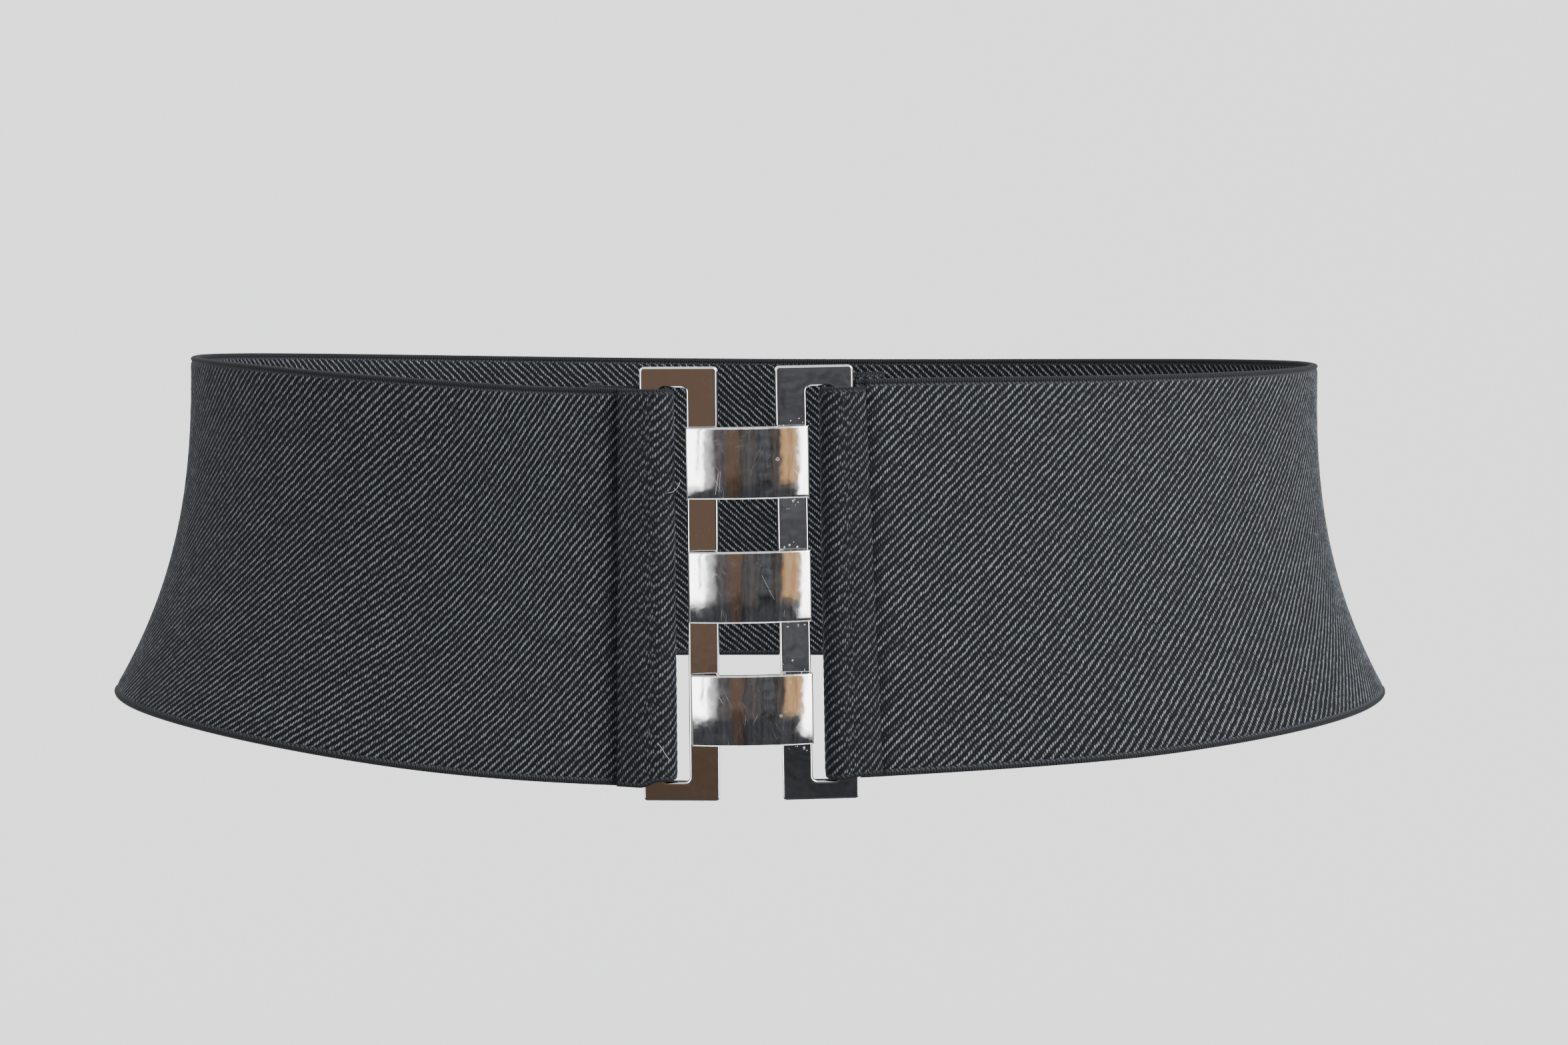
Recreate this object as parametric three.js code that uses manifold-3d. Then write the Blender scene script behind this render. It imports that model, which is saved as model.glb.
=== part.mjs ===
// Wide elastic stretch belt with a two-part metal buckle, fastened into a loop as it is worn. Millimetres,
// +Z up. The origin is on the loop's axis at mid-height. The buckle faces -Y, with +X to its right.
import * as THREE from "three";
import { mergeVertices } from "three/addons/utils/BufferGeometryUtils.js";
import Module from "manifold-3d";

const wasm = await Module();
wasm.setup();
const { degToRad, lerp, smoothstep } = THREE.MathUtils;

// Free gap kept between pieces that touch or slide on the real belt
const clearance = 0.3;

// Elastic webbing
const elasticWidth = 75.4;
const elasticThickness = 1.8;
const tabThickness = 1.5;

// Loop in plan: half sizes at the top edge, and where the bottom edge spreads over the hips and at the back
const waistHalfWidth = 120;
const hipHalfWidth = 137.3;
const waistHalfDepth = 82;
const backSpread = 10;
const sideFlatness = 0.02;
const flarePower = 2.5;
const bodyTurn = degToRad(3.75);

// The edges rise towards the sides, and the right end sits a little high and the left a little low
const topSideRise = 2.5;
const bottomSideRise = 6.1;
const endShift = 1.2;
const shiftFadeStart = degToRad(12);
const shiftFadeEnd = degToRad(70);

// Buckle in the loop: its place beside the middle and how far it flattens the front. Both halves roll to
// the left, the right one more, so that the gap between them widens downwards, and each half tilts back
// from the middle.
const buckleOffset = -1.1;
const buckleInset = 2.9;
const buckleRoll = degToRad(1.15);
const halfSpread = degToRad(0.35);
const halfTilt = degToRad(3.3);
const webbingTurn = degToRad(8);
const blendEndAngle = degToRad(37);

// Frames of the two buckle halves
const frameThickness = 2.4;
const frameBevel = 0.35;
const frameWidth = 14.5;
const armHeight = 3.75;
const centreBarWidth = 5.75;
const hiddenBarWidth = 3.75;
const centreGap = 11.2;
const slotSqueeze = 1;
const outerCornerRadius = 0.8;
const slotCornerRadius = 1.0;

// Domed plates on the right half. Their spacing is a share of the slot's height, and the solder under each
// one has a share of the centre bar's width and of the plate's height. The plates sit a little right of the
// middle.
const plateCount = 3;
const plateHeight = 13.4;
const plateThickness = 1.25;
const plateOverhang = 0.1;
const plateCrown = 1.6;
const plateRise = 0.45;
const plateBevel = 0.3;
const plateSpacing = 0.312;
const plateShift = 0.25;
const solderWidth = 0.8;
const solderHeight = 0.75;

// Hook behind each plate
const hookWidth = 8;
const hookThickness = 1.6;
const hookGrip = 3.8;

// End tabs: how far each layer reaches from the middle of the hidden bar, how much lower the front layer's
// bottom corner hangs at its seam, and how far the rear layer stands above the band's top edge and stops
// short of its bottom edge
const foldReach = 4.5;
const frontLayerReach = { left: 6.1, right: 4.7 };
const frontLayerDrop = { left: 1.2, right: -0.5 };
const rearLayerReach = { left: 14, right: 8.5 };
const rearLayerRise = { left: 0.3, right: 1.2 };
const rearLayerTuck = 0.5;
const webbingLift = { left: -0.6, right: 0.55 };

// Sizes that follow from these
const slotHeight = elasticWidth - slotSqueeze;
const frameHeight = slotHeight + 2 * armHeight;
const frameInnerEdge = centreGap / 2;
const centreBarFarEdge = frameInnerEdge + centreBarWidth;
const hiddenBarMiddle = frameInnerEdge + frameWidth - hiddenBarWidth / 2;
const barHalfDepth = frameThickness / 2 * Math.cos(webbingTurn) + hiddenBarWidth / 2 * Math.sin(webbingTurn);
const barHalfReach = hiddenBarWidth / 2 * Math.cos(webbingTurn) + frameThickness / 2 * Math.sin(webbingTurn);
const plateHalfLength = centreBarFarEdge + plateOverhang;
const plateSeat = frameThickness / 2 - centreBarFarEdge * Math.tan(halfTilt) + clearance;
const straightReach = barHalfReach + clearance;
const meanRadius = (waistHalfWidth + waistHalfDepth) / 2;
const sideSign = { left: -1, right: 1 };
const upward = new THREE.Vector3(0, 0, 1);

const chrome = new THREE.MeshStandardMaterial({ color: 0xb8bbc0, roughness: 0.14, metalness: 1 });
const blackElastic = new THREE.MeshStandardMaterial({ color: 0x1a1d22, roughness: 0.85, metalness: 0 });

// The buckle's own frame: X across it, Y into the body, Z up along its plates
const buckle = new THREE.Group();
buckle.position.set(buckleOffset, buckleInset - waistHalfDepth, 0);
buckle.rotation.y = -buckleRoll;
buckle.updateMatrixWorld();

// Turns a closed geometry into a manifold solid.
function toSolid(geometry) {
  const bare = geometry.clone();
  bare.deleteAttribute("normal");
  bare.deleteAttribute("uv");
  const merged = mergeVertices(bare, 1e-4);
  return new wasm.Manifold(new wasm.Mesh({
    numProp: 3,
    vertProperties: new Float32Array(merged.attributes.position.array),
    triVerts: new Uint32Array(merged.index.array),
  }));
}

// Turns a manifold solid back into a geometry.
function toGeometry(solid) {
  const mesh = solid.getMesh();
  const geometry = new THREE.BufferGeometry();
  geometry.setAttribute("position", new THREE.BufferAttribute(new Float32Array(mesh.vertProperties), 3));
  geometry.setIndex(new THREE.BufferAttribute(new Uint32Array(mesh.triVerts), 1));
  geometry.computeVertexNormals();
  return geometry;
}

// Closed body through a row of section loops of equal length. The second half of each loop runs back beside
// the first half, so that a ladder between the two halves closes the ends.
function loft(loops) {
  const count = loops[0].length;
  const last = (loops.length - 1) * count;
  const index = [];
  for (let row = 0; row < loops.length - 1; row += 1) {
    for (let j = 0; j < count; j += 1) {
      const here = row * count + j;
      const beside = row * count + (j + 1) % count;
      index.push(here, beside, here + count);
      index.push(beside, beside + count, here + count);
    }
  }
  for (let j = 0; j < count / 2 - 1; j += 1) {
    const across = count - 1 - j;
    index.push(j, across, j + 1);
    index.push(j + 1, across, across - 1);
    index.push(last + j, last + j + 1, last + across);
    index.push(last + j + 1, last + across - 1, last + across);
  }
  const geometry = new THREE.BufferGeometry().setFromPoints(loops.flat());
  geometry.setIndex(index);
  return facingOut(geometry);
}

// Turns the faces round if the body's volume comes out negative, as it does for a mirrored row of loops.
function facingOut(geometry) {
  const position = geometry.attributes.position;
  const index = geometry.index.array;
  const corners = [new THREE.Vector3(), new THREE.Vector3(), new THREE.Vector3()];
  let volume = 0;
  for (let i = 0; i < index.length; i += 3) {
    corners.forEach((corner, k) => corner.fromBufferAttribute(position, index[i + k]));
    volume += corners[0].dot(corners[1].cross(corners[2]));
  }
  if (volume < 0) {
    geometry.setIndex(Array.from(index).reverse());
  }
  geometry.computeVertexNormals();
  return geometry;
}

// Point on the loop's middle surface away from the buckle. The angle runs from the front to the back of a
// side.
function bodyPoint(side, angle, across) {
  const sign = sideSign[side];
  const down = 0.5 - across / elasticWidth;
  const flare = Math.sign(down) * Math.abs(down) ** flarePower;
  const halfWidth = waistHalfWidth + (hipHalfWidth - waistHalfWidth) * flare;
  const halfDepth = waistHalfDepth + backSpread * down * (1 - Math.cos(angle)) / 2;
  const x = halfWidth * (Math.sin(angle) - sideFlatness * Math.sin(3 * angle)) / (1 + sideFlatness);
  const y = halfDepth * (Math.cos(angle) + sideFlatness * Math.cos(3 * angle)) / (1 + sideFlatness);
  const rise = lerp(topSideRise, bottomSideRise, down) * Math.sin(angle) ** 2;
  const shift = sign * endShift * (1 - smoothstep(angle, shiftFadeStart, shiftFadeEnd));
  const point = new THREE.Vector3(sign * x, -y, across + rise + shift);
  return point.applyAxisAngle(upward, bodyTurn);
}

// Frame of one half in the buckle.
function halfMatrix(side) {
  const matrix = new THREE.Matrix4().makeRotationY(-sideSign[side] * halfSpread);
  return matrix.multiply(new THREE.Matrix4().makeRotationZ(sideSign[side] * halfTilt));
}

// Part of the webbing's lift against the buckle that is reached at a distance from the bar's middle.
function liftAt(side, along) {
  return webbingLift[side] * smoothstep(along, -hiddenBarWidth / 2, hiddenBarWidth / 2);
}

// Frame of the webbing where it turns on a hidden bar: the origin is the bar's middle.
function webbingMatrix(side) {
  const sign = sideSign[side];
  const matrix = buckle.matrixWorld.clone();
  matrix.multiply(halfMatrix(side));
  matrix.multiply(new THREE.Matrix4().makeTranslation(sign * hiddenBarMiddle, 0, 0));
  matrix.multiply(new THREE.Matrix4().makeRotationZ(sign * webbingTurn));
  return matrix;
}
const webbing = { left: webbingMatrix("left"), right: webbingMatrix("right") };

// Point on the straight stretch of webbing at a hidden bar.
function straightPoint(side, along, across) {
  const point = new THREE.Vector3(sideSign[side] * along, 0, across + liftAt(side, along));
  return point.applyMatrix4(webbing[side]);
}

const blendLength = straightPoint("right", straightReach, 0).distanceTo(bodyPoint("right", blendEndAngle, 0));
const blendEnd = straightReach + blendLength;
const backReach = blendEnd + (Math.PI - blendEndAngle) * meanRadius;

// Point on the middle surface from a hidden bar to the middle of the back: straight, then one smooth bend,
// then round the body. Along is the distance from the bar's middle, across runs from the bottom edge to the
// top edge.
function loopPoint(side, along, across) {
  if (along <= straightReach) {
    return straightPoint(side, along, across);
  }
  if (along >= blendEnd) {
    return bodyPoint(side, blendEndAngle + (along - blendEnd) / meanRadius, across);
  }
  const step = 0.01;
  const start = straightPoint(side, straightReach, across);
  const end = bodyPoint(side, blendEndAngle, across);
  const leaving = start.clone().sub(straightPoint(side, straightReach - step, across)).setLength(blendLength);
  const arriving = bodyPoint(side, blendEndAngle + step, across).sub(end).setLength(blendLength);
  const t = (along - straightReach) / blendLength;
  const point = start.multiplyScalar((1 + 2 * t) * (1 - t) ** 2);
  point.addScaledVector(leaving, t * (1 - t) ** 2);
  point.addScaledVector(end, t ** 2 * (3 - 2 * t));
  point.addScaledVector(arriving, t ** 2 * (t - 1));
  return point;
}

// Point at a distance in front of the middle surface, or behind it if out is negative.
function webbingPoint(side, along, across, out) {
  const step = 0.05;
  const forward = loopPoint(side, along + step, across).sub(loopPoint(side, along - step, across));
  const climbing = loopPoint(side, along, across + step).sub(loopPoint(side, along, across - step));
  const normal = forward.cross(climbing).setLength(sideSign[side] * out);
  return loopPoint(side, along, across).add(normal);
}

// Section of webbing with rounded edges, up the front face and down the rear face. Share runs from the
// bottom edge (-1) to the top edge (+1), edge is the reach beyond the flat stretch and out the distance in
// front of the middle.
function webbingOutline(thickness) {
  const faceRows = 6;
  const radius = thickness / 2;
  const edgeAngles = [degToRad(18), degToRad(54)];
  const front = [];
  for (const angle of edgeAngles) {
    front.push({ share: -1, edge: -radius * Math.cos(angle), out: radius * Math.sin(angle) });
  }
  for (let row = 0; row <= faceRows; row += 1) {
    front.push({ share: 2 * row / faceRows - 1, edge: 0, out: radius });
  }
  for (const angle of edgeAngles.toReversed()) {
    front.push({ share: 1, edge: radius * Math.cos(angle), out: radius * Math.sin(angle) });
  }
  const rear = front.toReversed().map((point) => ({ ...point, out: -point.out }));
  return [...front, ...rear];
}

// Ribbon of webbing through stations. Each station has its side, its place along and in front of the middle
// surface, the direction of its own face in that plane, and its bottom and top edges.
function ribbon(stations, thickness) {
  const outline = webbingOutline(thickness);
  const loops = stations.map((station) => outline.map((point) => {
    const middle = (station.low + station.high) / 2;
    const half = (station.high - station.low) / 2 - thickness / 2;
    const across = middle + point.share * half + point.edge;
    const along = station.along + point.out * station.face.x;
    return webbingPoint(station.side, along, across, station.out + point.out * station.face.y);
  }));
  return loft(loops);
}

// The main band: from the right bar round the back to the left bar.
function bandGeometry() {
  const blendSteps = 12;
  const backSteps = 32;
  const face = new THREE.Vector2(0, 1);
  const edges = { low: -elasticWidth / 2, high: elasticWidth / 2 };
  const reaches = [];
  for (let step = 0; step < blendSteps; step += 1) {
    reaches.push(lerp(straightReach, blendEnd, step / blendSteps));
  }
  for (let step = 0; step < backSteps; step += 1) {
    reaches.push(lerp(blendEnd, backReach, step / backSteps));
  }
  const right = reaches.map((along) => ({ side: "right", along, out: 0, face, ...edges }));
  const back = { side: "right", along: backReach, out: 0, face, ...edges };
  const left = reaches.map((along) => ({ side: "left", along, out: 0, face, ...edges })).reverse();
  return ribbon([...right, back, ...left], elasticThickness);
}

// An end tab: front layer from its seam edge to the hidden bar, fold round the bar, and rear layer.
function tabGeometry(side) {
  const layerSteps = 6;
  const foldSteps = 8;
  const seam = frontLayerReach[side];
  const slotFit = slotHeight / 2 - clearance;
  const barRadius = barHalfDepth + clearance + tabThickness / 2;
  const bandRadius = elasticThickness / 2 + clearance + tabThickness / 2;
  const foldMiddle = barRadius + tabThickness / 2 - foldReach;
  const radiusAt = (along) => lerp(barRadius, bandRadius, smoothstep(along, barHalfReach, seam));
  const frontEdges = { low: -slotFit - frontLayerDrop[side], high: slotFit };
  const rearEdges = {
    low: webbingLift[side] + rearLayerTuck - elasticWidth / 2,
    high: webbingLift[side] + rearLayerRise[side] + elasticWidth / 2,
  };
  const line = [];
  for (let step = 0; step < layerSteps; step += 1) {
    const along = lerp(seam, foldMiddle, step / layerSteps);
    line.push({ along, out: radiusAt(along), edges: frontEdges });
  }
  for (let step = 0; step <= foldSteps; step += 1) {
    const angle = Math.PI * step / foldSteps;
    const along = foldMiddle - barRadius * Math.sin(angle);
    line.push({ along, out: barRadius * Math.cos(angle), edges: rearEdges });
  }
  for (let step = 1; step <= layerSteps; step += 1) {
    const along = lerp(foldMiddle, rearLayerReach[side], step / layerSteps);
    line.push({ along, out: -radiusAt(along), edges: rearEdges });
  }
  const stations = line.map(({ along, out, edges }, i) => {
    const before = line[Math.max(i - 1, 0)];
    const after = line[Math.min(i + 1, line.length - 1)];
    const face = new THREE.Vector2(after.out - before.out, before.along - after.along).normalize();
    const widening = smoothstep(along, -hiddenBarWidth / 2, hiddenBarWidth / 2);
    const low = lerp(-slotFit, edges.low, widening) - liftAt(side, along);
    const high = lerp(slotFit, edges.high, widening) - liftAt(side, along);
    return { side, along, out, face, low, high };
  });
  return ribbon(stations, tabThickness);
}

// Adds a rectangle with round corners to a shape or a hole.
function roundedRectangle(path, left, right, height, radius) {
  const x = right - radius;
  const y = height / 2 - radius;
  const quarter = Math.PI / 2;
  path.absarc(x, y, radius, 0, quarter);
  path.absarc(left + radius, y, radius, quarter, 2 * quarter);
  path.absarc(left + radius, -y, radius, 2 * quarter, 3 * quarter);
  path.absarc(x, -y, radius, 3 * quarter, 4 * quarter);
  path.closePath();
}

// Flat frame of the right half before its tilt, with one slot between the centre bar and the hidden bar.
function frameGeometry() {
  const outerEdge = frameInnerEdge + frameWidth;
  const shape = new THREE.Shape();
  const slot = new THREE.Path();
  roundedRectangle(shape, frameInnerEdge, outerEdge, frameHeight, outerCornerRadius);
  roundedRectangle(slot, centreBarFarEdge, outerEdge - hiddenBarWidth, slotHeight, slotCornerRadius);
  shape.holes.push(slot);
  const geometry = new THREE.ExtrudeGeometry(shape, {
    depth: frameThickness - 2 * frameBevel,
    bevelThickness: frameBevel,
    bevelSize: frameBevel,
    bevelOffset: -frameBevel,
    bevelSegments: 1,
    curveSegments: 3,
  });
  geometry.translate(0, 0, frameBevel - frameThickness / 2);
  geometry.rotateX(Math.PI / 2);
  return geometry;
}

// How far in front of the buckle's middle plane a plate's rear face stands, from its edge seat to its
// crown.
function plateBack(x, z) {
  const crown = plateCrown * (1 - (x / plateHalfLength) ** 2);
  const rise = plateRise * (1 - (2 * z / plateHeight) ** 2);
  return plateSeat + crown + rise;
}

// One domed plate, centred on its own height: a front grid with a bevelled rim, and a rear grid.
function plateGeometry() {
  const columns = 14;
  const rows = 6;
  const halfHeight = plateHeight / 2;
  const placesAcross = rimmedSteps(plateHalfLength, columns);
  const placesUp = rimmedSteps(halfHeight, rows);
  const loops = placesUp.map((z) => {
    const front = placesAcross.map((x) => {
      const onRim = Math.abs(x) === plateHalfLength || Math.abs(z) === halfHeight;
      return new THREE.Vector3(x, (onRim ? plateBevel : 0) - plateThickness - plateBack(x, z), z);
    });
    const rear = placesAcross.map((x) => new THREE.Vector3(x, -plateBack(x, z), z)).reverse();
    return [...front, ...rear];
  });
  return loft(loops);
}

// Even steps from -half to half, with one more step at each end for the bevel.
function rimmedSteps(half, count) {
  const steps = [-half];
  for (let step = 0; step <= count; step += 1) {
    steps.push(lerp(plateBevel - half, half - plateBevel, step / count));
  }
  steps.push(half);
  return steps;
}

// One plain hook: a stem down between the centre bars, clear of the left one at every height, and a foot
// behind it.
function hookGeometry() {
  const rearFace = (x) => frameThickness / 2 / Math.cos(halfTilt) + x * Math.tan(halfTilt) + clearance;
  const near = frameInnerEdge - clearance - slotHeight / 2 * Math.sin(2 * halfSpread);
  const stem = near - hookThickness;
  const tip = frameInnerEdge + hookGrip;
  const top = -plateBack(near, plateHeight / 2) - plateThickness / 2;
  const shape = new THREE.Shape([
    new THREE.Vector2(-stem, top),
    new THREE.Vector2(-near, top),
    new THREE.Vector2(-near, rearFace(near)),
    new THREE.Vector2(-tip, rearFace(tip)),
    new THREE.Vector2(-tip, rearFace(tip) + hookThickness),
    new THREE.Vector2(-stem, rearFace(near) + hookThickness),
  ]);
  const geometry = new THREE.ExtrudeGeometry(shape, { depth: hookWidth, bevelEnabled: false });
  geometry.translate(0, 0, -hookWidth / 2);
  return geometry;
}

// Solder between a plate and the right centre bar: from inside the bar to inside the plate.
function solderGeometry() {
  const depth = plateSeat + plateThickness;
  const geometry = new THREE.BoxGeometry(centreBarWidth * solderWidth, depth, plateHeight * solderHeight);
  geometry.translate(centreBarFarEdge - centreBarWidth / 2, -depth / 2, 0);
  return geometry;
}

// The right half: its frame with the plates, their solder and their hooks, joined into one solid.
function rightHalfGeometry() {
  let solid = toSolid(frameGeometry().applyMatrix4(halfMatrix("right")));
  const spread = new THREE.Matrix4().makeRotationY(-halfSpread);
  const pitch = slotHeight * plateSpacing;
  for (let plate = 0; plate < plateCount; plate += 1) {
    const height = (plate - (plateCount - 1) / 2) * pitch;
    const dome = plateGeometry().translate(plateShift, 0, 0);
    for (const piece of [dome, solderGeometry(), hookGeometry()]) {
      solid = solid.add(toSolid(piece.translate(0, 0, height).applyMatrix4(spread)));
    }
  }
  return toGeometry(solid);
}

// The left half's frame is the right one turned round by half a turn.
function leftFrameGeometry() {
  return frameGeometry().rotateZ(Math.PI).applyMatrix4(halfMatrix("left"));
}

function namedMesh(name, geometry, material) {
  const mesh = new THREE.Mesh(geometry, material);
  mesh.name = name;
  return mesh;
}

buckle.add(namedMesh("left_buckle_frame", leftFrameGeometry(), chrome));
buckle.add(namedMesh("right_buckle_half", rightHalfGeometry(), chrome));

const belt = new THREE.Group();
belt.add(buckle);
belt.add(namedMesh("elastic_band", bandGeometry(), blackElastic));
belt.add(namedMesh("left_end_tab", tabGeometry("left"), blackElastic));
belt.add(namedMesh("right_end_tab", tabGeometry("right"), blackElastic));

export default belt;
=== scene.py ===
import functools
import math

import bmesh
import bpy
import numpy as np
from mathutils import Matrix, Vector


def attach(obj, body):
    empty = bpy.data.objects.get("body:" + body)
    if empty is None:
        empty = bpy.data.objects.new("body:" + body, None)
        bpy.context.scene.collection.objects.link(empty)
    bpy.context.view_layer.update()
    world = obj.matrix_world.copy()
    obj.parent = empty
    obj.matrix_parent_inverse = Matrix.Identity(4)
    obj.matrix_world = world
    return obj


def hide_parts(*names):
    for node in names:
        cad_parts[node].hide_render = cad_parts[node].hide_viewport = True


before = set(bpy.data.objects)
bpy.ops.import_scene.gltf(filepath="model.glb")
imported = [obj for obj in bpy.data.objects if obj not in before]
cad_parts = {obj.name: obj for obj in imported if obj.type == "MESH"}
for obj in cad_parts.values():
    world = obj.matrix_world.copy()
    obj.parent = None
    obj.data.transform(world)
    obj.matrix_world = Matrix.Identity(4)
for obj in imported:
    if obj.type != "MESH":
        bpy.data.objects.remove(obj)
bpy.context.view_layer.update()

# Lengths below are in millimetres and angles in radians. Meshes are scaled to metres as they are made.
MM = 0.001

# Elastic webbing
ELASTIC_WIDTH = 75.4
ELASTIC_THICKNESS = 1.8
TAB_THICKNESS = 1.5
CLEARANCE = 0.3

# Loop in plan and the rise of its edges
WAIST_HALF_WIDTH = 120
HIP_HALF_WIDTH = 137.3
WAIST_HALF_DEPTH = 82
BACK_SPREAD = 10
SIDE_FLATNESS = 0.02
FLARE_POWER = 2.5
BODY_TURN = math.radians(3.75)
TOP_SIDE_RISE = 2.5
BOTTOM_SIDE_RISE = 6.1
END_SHIFT = 1.2
SHIFT_FADE = (math.radians(12), math.radians(70))

# Place of the buckle and its two halves
BUCKLE_OFFSET = -1.1
BUCKLE_INSET = 2.9
BUCKLE_ROLL = math.radians(1.15)
HALF_SPREAD = math.radians(0.35)
HALF_TILT = math.radians(3.3)
WEBBING_TURN = math.radians(8)
BLEND_END_ANGLE = math.radians(37)

# Frames
FRAME_THICKNESS = 2.4
FRAME_BEVEL = 0.35
FRAME_SUPPORT = 0.65
FRAME_WIDTH = 14.5
ARM_HEIGHT = 3.75
CENTRE_BAR_WIDTH = 5.75
HIDDEN_BAR_WIDTH = 3.75
CENTRE_GAP = 11.2
SLOT_HEIGHT = ELASTIC_WIDTH - 1
OUTER_CORNER_RADIUS = 0.8
SLOT_CORNER_RADIUS = 1.0
CORNER_STEPS = 6

# Domed plates and the hooks behind them
PLATE_COUNT = 3
PLATE_HEIGHT = 13.4
PLATE_THICKNESS = 1.25
PLATE_OVERHANG = 0.1
PLATE_CROWN = 1.6
PLATE_RISE = 0.45
PLATE_ROUNDING = 0.3
PLATE_EDGE_STEPS = [0, 0.03, 0.09, 0.18, PLATE_ROUNDING]
PLATE_STEP = 0.5
PLATE_PITCH = 0.312 * SLOT_HEIGHT
PLATE_SHIFT = 0.25
HOOK_WIDTH = 8
HOOK_THICKNESS = 1.6
HOOK_GRIP = 3.8
HOOK_ROUNDING = 0.2

# End tabs
FOLD_REACH = 4.5
FRONT_REACH = {-1: 6.1, 1: 4.7}
FRONT_DROP = {-1: 1.2, 1: -0.5}
SEAM_SLANT = {-1: 0.5, 1: 1.1}
REAR_REACH = {-1: 14, 1: 8.5}
REAR_RISE = {-1: 0.3, 1: 1.2}
REAR_TUCK = 0.5
SEAM_SHADE = 0.85
SEAM_SHADE_BLUR = 0.4
WEBBING_LIFT = {-1: -0.6, 1: 0.55}
TAB_ROUNDING = 0.6
TAB_EDGE_STEPS = [0, 0.04, 0.14, 0.32, TAB_ROUNDING]
TAB_STEP = 0.36
TAB_SHARE_STEP = 0.0125
TAB_PATH_SAMPLES = 60
SEAM_MARGIN = 0.3
SLANT_FADE_LENGTH = 6
CRUSH_PLACE = 0.6
CRUSH_REACH = 1.1
RAW_EDGE_SHADE_REACH = 0.16

# Weave: the twill lines repeat every REPEAT along and across, in columns of one yarn each
REPEAT = 1.75
COLUMNS = 4
COLUMN = REPEAT / COLUMNS
COLUMN_DRIFT = 0.3
LINE_SWAY = 0.5
RIB_HEIGHT = 0.14
RIB_SAMPLES = 4
TAB_RIB_SHARE = 0.8
WEAVE_RELIEF = 0.16
TAB_TIGHTNESS = 1.12
TAB_SHADE = 0.38

# Slubs: one grey tuft of yarn to each repeat of a column, in shares of a column across and of a repeat along
SLUB_HALF_WIDTH = 0.46
SLUB_HALF_LENGTH = 0.2
SLUB_LENGTH_SPREAD = 0.08
SLUB_FADE = (1.15, 0.1)
SLUB_JITTER = 0.14
CRUSHED_JITTER = 0.6
SLUB_LEAN = 0.5

# Selvedge: a ribbed bead, a dashed lighter yarn beside it, and its section as (distance in, share of thickness)
BEAD_WIDTH = 1.0
BEAD_BLUR = 0.15
BEAD_PITCH = 0.5
DASH_REACH = (0.55, 0.35)
DASH_PITCH = 0.9
SELVEDGE = [(0, 0), (0.1, 0.5), (0.3, 0.85), (0.6, 1), (0.9, 0.86), (1.15, 0.72), (1.5, 0.88), (2.3, 1)]
FIELD_ROWS = 14

# Wear of the metal. Scratches: direction in degrees, fineness, length and the share of the noise they take.
SCRATCHES = ((84, 5.0, 9.0, 0.34), (62, 5.5, 7, 0.33), (118, 6, 6, 0.33), (20, 6, 5, 0.31))
# The plates lie this far apart in the noise. Spots and marks: places on the plates, and their reach or width.
PLATE_SPACING_IN_NOISE = 5.0
RUST_SPOTS = [((5.6, 0.7, 10.0), 0.42), ((5.4, -0.95, 0.0), 0.36), ((6.3, -0.2, 0.0), 0.18)]
PLATE_MARKS = [((-5.4, -1.6, 10.0), (-6.1, -5.9, 10.0), 0.09), ((2.2, 2.5, 5.0), (4.6, -2.4, 5.0), 0.06)]

# Solder: a block under each plate, and beads beside it, more of them below (-1) than above (1)
SOLDER_HALF_WIDTH = CENTRE_BAR_WIDTH * 0.4
SOLDER_HALF_HEIGHT = PLATE_HEIGHT * 0.375
SOLDER_REAR = 0.8
SOLDER_ROUNDING = 0.25
SOLDER_SEED = 7
SOLDER_BEADS = {-1: 9, 1: 6}
SOLDER_SPREAD = 2.4

# Loose fibres
LINT_HAIRS = [
    ([(-16.2, -82.0, 17.5), (-15.1, -83.0, 17.8), (-14.3, -83.4, 18.6), (-13.9, -83.3, 19.7)], 0.12),
    ([(-17.9, -82.5, -29.4), (-17.0, -82.9, -30.3), (-16.4, -83.0, -31.6), (-15.5, -82.9, -32.6)], 0.08)]
THREAD_ENDS = 4
THREAD_SPACING = 0.55
THREAD_WIDTH = 0.34

# Colours
ELASTIC_DARK = (0.0014, 0.0017, 0.0023)
ELASTIC_LIGHT = (0.140, 0.155, 0.176)
SILVER = (0.80, 0.80, 0.81)
SOLDER_GREY = (0.42, 0.42, 0.43)
STREAK_BROWN = (0.50, 0.36, 0.27)
SCRATCH_WHITE = (0.95, 0.95, 0.95)
RUST_BROWN = (0.16, 0.035, 0.006)
LINT_COLOUR = (0.30, 0.27, 0.23)
THREAD_COLOUR = (0.012, 0.013, 0.016)
PALE_FLOOR = (0.86, 0.86, 0.86)
PALE_FLOOR_GLOW = 1.15
SKY = (0.95, 0.97, 1.0, 1)

# Sizes that follow from these
FRAME_INNER_EDGE = CENTRE_GAP / 2
CENTRE_BAR_FAR_EDGE = FRAME_INNER_EDGE + CENTRE_BAR_WIDTH
HIDDEN_BAR_MIDDLE = FRAME_INNER_EDGE + FRAME_WIDTH - HIDDEN_BAR_WIDTH / 2
BAR_HALF_DEPTH = FRAME_THICKNESS / 2 * math.cos(WEBBING_TURN) + HIDDEN_BAR_WIDTH / 2 * math.sin(WEBBING_TURN)
BAR_HALF_REACH = HIDDEN_BAR_WIDTH / 2 * math.cos(WEBBING_TURN) + FRAME_THICKNESS / 2 * math.sin(WEBBING_TURN)
PLATE_HALF_LENGTH = CENTRE_BAR_FAR_EDGE + PLATE_OVERHANG
PLATE_SEAT = FRAME_THICKNESS / 2 - CENTRE_BAR_FAR_EDGE * math.tan(HALF_TILT) + CLEARANCE
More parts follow.
